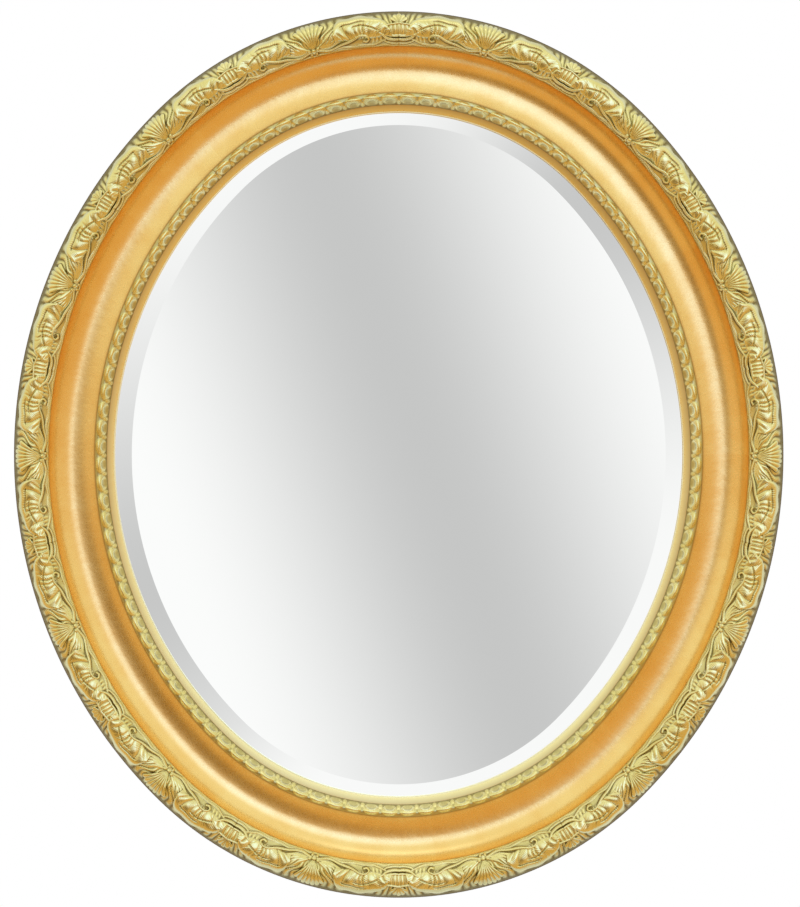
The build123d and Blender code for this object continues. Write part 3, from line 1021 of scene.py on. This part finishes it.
# D-ring: a straight bar in the strap's loop, two corners and a round bow
wire = 3 * mm
ring_corner = 3 * mm
ring_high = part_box("d_ring")[1]
ring_pivot = Vector(joints["ring"]["pos_m"])
bow_radius = ring_high.x - wire / 2
bow_middle = ring_high.z - wire / 2 - bow_radius
bow = evenly(0, math.pi, 33)
corner = evenly(-math.pi / 2, 0, 9)
right_corner = [(bow_radius - ring_corner * (1 - math.cos(a)), ring_pivot.z + ring_corner * (1 + math.sin(a)))
                for a in corner]
bow_points = [(bow_radius * math.cos(a), bow_middle + bow_radius * math.sin(a)) for a in bow]
left_corner = [(-x, z) for x, z in reversed(right_corner)]
ring_path = np.array([(x, ring_pivot.y, z) for x, z in right_corner + bow_points + left_corner])
ring_mesh = swept_wire("ring", ring_path, wire / 2)
ring_mesh.materials.append(brass)
piece("hanging_ring_wire", ring_mesh, "ring", "brassed_steel", "d_ring")


# Felt bumpers


def felt_pad(low, high):
    """Die-cut felt pad with soft edges and a slightly uneven surface."""
    work = bmesh.new()
    size = high - low
    bmesh.ops.create_cube(work, size=1, matrix=Matrix.Translation((low + high) / 2) @ Matrix.Diagonal((*size, 1)))
    bmesh.ops.bevel(work, geom=work.edges[:], offset=1.0 * mm, segments=3, profile=0.5, affect="EDGES")
    bmesh.ops.subdivide_edges(work, edges=work.edges[:], cuts=5, use_grid_fill=True)
    work.normal_update()
    for vertex in work.verts:
        sunk = 0.5 + 0.5 * noise.noise(vertex.co / (2.2 * mm))
        vertex.co -= vertex.normal * 0.35 * mm * sunk
    mesh = bpy.data.meshes.new("felt")
    work.to_mesh(mesh)
    work.free()
    mesh.shade_smooth()
    mesh.materials.append(felt)
    return mesh


for side in ("left", "right"):
    node = f"wall_bumper_{side}"
    corners = np.array([tuple(vertex.co) for vertex in frame["nodes"][node].data.vertices])
    flat = corners[:, [0, 2]]
    low_corner = flat[flat[:, 1].argmin()]
    side_corner = flat[flat[:, 0].argmin() if low_corner[0] > flat[:, 0].mean() else flat[:, 0].argmax()]
    slope = math.atan2(side_corner[1] - low_corner[1], side_corner[0] - low_corner[0])
    width = math.dist(low_corner, side_corner)
    middle_x, _, middle_z = corners.mean(0)
    mesh = felt_pad(Vector((-width / 2, corners[:, 1].min(), -width / 2)),
                    Vector((width / 2, corners[:, 1].max(), width / 2)))
    mesh.transform(Matrix.Translation((middle_x, 0, middle_z)) @ Matrix.Rotation(-slope, 4, "Y"))
    piece(f"felt_bumper_{side}", mesh, "mirror", "felt", node)


# Floor, light and camera


def make_floor():
    """Pale round floor, well below the mirror."""
    drop, radius = 1.3, 0.75
    work = bmesh.new()
    bmesh.ops.create_circle(work, cap_ends=True, segments=96, radius=radius,
                            matrix=Matrix.Translation((0, 0, cad_box[0].z - drop)))
    mesh = bpy.data.meshes.new("floor")
    work.to_mesh(mesh)
    work.free()
    made, tree = new_material("matt pale floor")
    speck = grain_noise(tree, 8 * mm)
    tone = mix(tree, spread(tree, speck, 0.0, 1.0, 0.4, 0.6), colour("#F2F1EF"), colour("#EFEEEC"))
    finish_surface(tree, {"Base Color": tone, "Roughness": 0.9})
    mesh.materials.append(made)
    floor = put("floor", mesh)


def make_world():
    """White all round for the camera. Metal and glass see a pale studio."""
    world = bpy.data.worlds.new("pale studio")
    bpy.context.scene.world = world
    world.use_nodes = True
    tree = world.node_tree
    tree.nodes.clear()
    maths = maths_in(tree)

    def fade(value, start, end, low, high):
        return spread(tree, value, low, high, start, end, interpolation_type="SMOOTHSTEP")

    def between(share, first, second):
        return maths("ADD", maths("MULTIPLY", maths("SUBTRACT", second, first), share), first)

    def band(angle, offset, half_width, dark, pale):
        """Soft dark band across the studio's front. Its angle is that of its darkening, from X towards Z."""
        across = maths("MULTIPLY_ADD", slope_x, math.cos(math.radians(angle)),
                       maths("MULTIPLY", slope_z, math.sin(math.radians(angle))))
        return fade(maths("ABSOLUTE", maths("SUBTRACT", across, offset)), 0.0, half_width, dark, pale)

    def spot(rise, aside, reach, core, outside, inside):
        """Round spot of the studio, by how far up and to the right of the front it lies. Angles are in degrees."""
        rise, aside, reach, core = (math.radians(angle) for angle in (rise, aside, reach, core))
        middle = (math.cos(rise) * math.sin(aside), -math.cos(rise) * math.cos(aside), math.sin(rise))
        near = add(tree, "ShaderNodeVectorMath", {0: direction, 1: middle}, operation="DOT_PRODUCT")["Value"]
        return fade(near, math.cos(reach), math.cos(core), outside, inside)

    white = (1, 1, 1, 1)
    direction = add(tree, "ShaderNodeTexCoord")["Generated"]
    x, y, z = add(tree, "ShaderNodeSeparateXYZ", {0: direction})
    front = maths("MAXIMUM", maths("MULTIPLY", y, -1.0), 0.001)
    slope_x, slope_z = maths("DIVIDE", x, front), maths("DIVIDE", z, front)
    slope = maths("SQRT", maths("ADD", maths("POWER", slope_x, 2.0), maths("POWER", slope_z, 2.0)))

    # The flat glass and its bevel see two soft grey bands
    facing = band(20, 0.001, 0.094, 0.583, 1.0)
    beside = band(124, 0.038, 0.30, 0.59, 0.975)
    glass_level = between(fade(slope, 0.13, 0.25, 0.0, 1.0), facing, beside)

    # Satin metal sees a bright window above, cream walls that turn amber towards the floor, and a dim corner
    window = spot(14, 8, reach=24, core=5, outside=0.0, inside=1.0)
    corner = spot(-17, -18, reach=25, core=5, outside=1.0, inside=0.33)
    walls = mix(tree, fade(z, -0.30, 0.45, 0.0, 1.0), colour("#E2B268"), colour("#FAF3CE"))
    walls = mix(tree, fade(y, 0.0, 0.35, 0.0, 1.0), walls, colour("#E6E6E4"))
    satin_colour = mix(tree, window, walls, colour("#CEDFFA"))
    satin_level = maths("MULTIPLY", maths("MULTIPLY_ADD", window, 0.95, 1.0), corner)

    # Plain surfaces get a light of their own level, and the camera sees white
    path = add(tree, "ShaderNodeLightPath")
    plain = 0.80
    sharp = path["Is Singular Ray"]
    seen = between(path["Is Glossy Ray"], plain, between(sharp, satin_level, glass_level))
    seen = between(path["Is Camera Ray"], seen, 1.0)
    satin_share = between(path["Is Camera Ray"], between(sharp, path["Is Glossy Ray"], 0.0), 0.0)
    background = add(tree, "ShaderNodeBackground",
                     {"Color": mix(tree, satin_share, white, satin_colour), "Strength": seen})
    add(tree, "ShaderNodeOutputWorld", {"Surface": background[0]})
    world.cycles.sampling_method = "NONE"


def make_lamp():
    """Wide softbox in front and above."""
    rise, distance = math.radians(70), 3.0
    light = bpy.data.lights.new("softbox", "AREA")
    light.shape = "RECTANGLE"
    light.size = 1.6
    light.size_y = 0.8
    light.energy = 2
    lamp = put("softbox", light)
    lamp.location = (0, -distance * math.cos(rise), distance * math.sin(rise))
    lamp.rotation_euler = (math.pi / 2 - rise, 0, 0)


def make_camera():
    """Camera in front, a little above the middle, at the photograph's scale and framing."""
    camera = bpy.data.cameras.new("camera")
    camera.sensor_fit = "HORIZONTAL"
    camera.sensor_width = sensor_width
    edge_distance = camera_distance - stand_off - outer_edge[1]
    camera.lens = sensor_width * pixels_per_metre * edge_distance / photo_width
    made = put("camera", camera)
    aim = Vector(((photo_width / 2 - oval_middle[0]) / pixels_per_metre, -stand_off - outer_edge[1],
                  (oval_middle[1] - photo_height / 2) / pixels_per_metre))
    made.location = (0, -camera_distance, camera_rise)
    made.rotation_euler = (aim - made.location).to_track_quat("-Z", "Y").to_euler()
    bpy.context.scene.camera = made


make_floor()
make_world()
make_lamp()
make_camera()
bpy.context.scene.view_settings.view_transform = "Standard"
